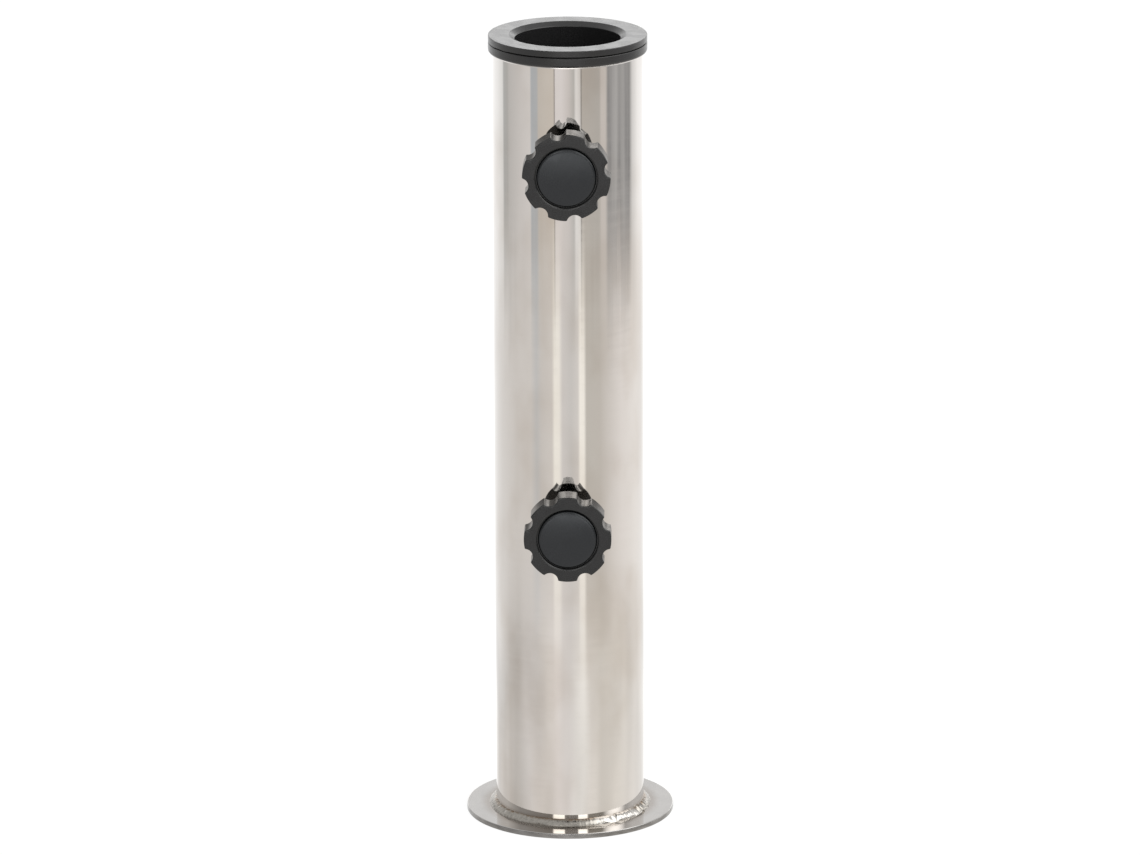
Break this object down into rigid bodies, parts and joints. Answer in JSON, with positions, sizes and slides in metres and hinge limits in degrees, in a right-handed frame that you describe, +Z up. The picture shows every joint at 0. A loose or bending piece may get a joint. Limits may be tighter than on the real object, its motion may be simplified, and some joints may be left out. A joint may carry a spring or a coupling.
{
  "type": "parasol pole holder",
  "caption": "Free-standing steel tube on a round foot plate that holds a parasol pole, with removable plastic bushes in its mouth and hand-turned clamp knobs.",
  "frame": {"origin": "middle of the foot plate's underside, on the tube's axis", "axes": "+Z up along the tube, towards the mouth that the pole goes in; the clamp knobs face -Y; +X is to the right seen from the knobs' side"},
  "size_m": [0.077, 0.0802, 0.2955],
  "materials": {
    "polished_tube": "polished stainless steel",
    "polished_plate": "polished stainless steel sheet, finely scratched",
    "weld_bead": "rippled weld with heat tint",
    "plain_steel": "plain turned stainless steel",
    "bush_plastic": "smooth moulded black plastic",
    "knob_plastic": "fine grained black plastic",
    "cap_plastic": "satin black plastic",
    "nylon": "natural nylon"
  },
  "bodies": {
    "stand": {"tube": "polished_tube", "base_plate": "polished_plate", "base_weld": "weld_bead", "base_nut": "plain_steel", "upper_nut": "plain_steel", "lower_nut": "plain_steel", "upper_nut_weld": "weld_bead", "lower_nut_weld": "weld_bead"},
    "outer_bush": {"outer_bush": "bush_plastic"},
    "inner_bush": {"inner_bush": "bush_plastic"},
    "upper_tip": {"upper_screw_tip": "nylon"},
    "upper_knob": {"upper_knob": "knob_plastic", "upper_knob_cap": "cap_plastic", "upper_clamp_screw": "plain_steel"},
    "lower_tip": {"lower_screw_tip": "nylon"},
    "lower_knob": {"lower_knob": "knob_plastic", "lower_knob_cap": "cap_plastic", "lower_clamp_screw": "plain_steel"}
  },
  "joints": [
    {"name": "outer_bush_lift", "type": "slide", "parent": "stand", "child": "outer_bush", "axis": [0, 0, 1], "range_m": [0, 0.045]},
    {"name": "inner_bush_lift", "type": "slide", "parent": "outer_bush", "child": "inner_bush", "axis": [0, 0, 1], "range_m": [0, 0.045]},
    {"name": "upper_clamp_travel", "type": "slide", "parent": "stand", "child": "upper_tip", "axis": [0, 1, 0], "range_m": [-0.006, 0.00187]},
    {"name": "upper_knob_turn", "type": "hinge", "parent": "upper_tip", "child": "upper_knob", "pos_m": [0, -0.0414, 0.2517], "axis": [0, 1, 0], "range_deg": [-1728, 540]},
    {"name": "lower_clamp_travel", "type": "slide", "parent": "stand", "child": "lower_tip", "axis": [0, 1, 0], "range_m": [-0.006, 0.00187]},
    {"name": "lower_knob_turn", "type": "hinge", "parent": "lower_tip", "child": "lower_knob", "pos_m": [0, -0.0414, 0.116], "axis": [0, 1, 0], "range_deg": [-1728, 540]}
  ],
  "couplings": [
    {"joint": "upper_clamp_travel", "follows": "upper_knob_turn", "m_per_rad": 0.00019894},
    {"joint": "lower_clamp_travel", "follows": "lower_knob_turn", "m_per_rad": 0.00019894}
  ]
}
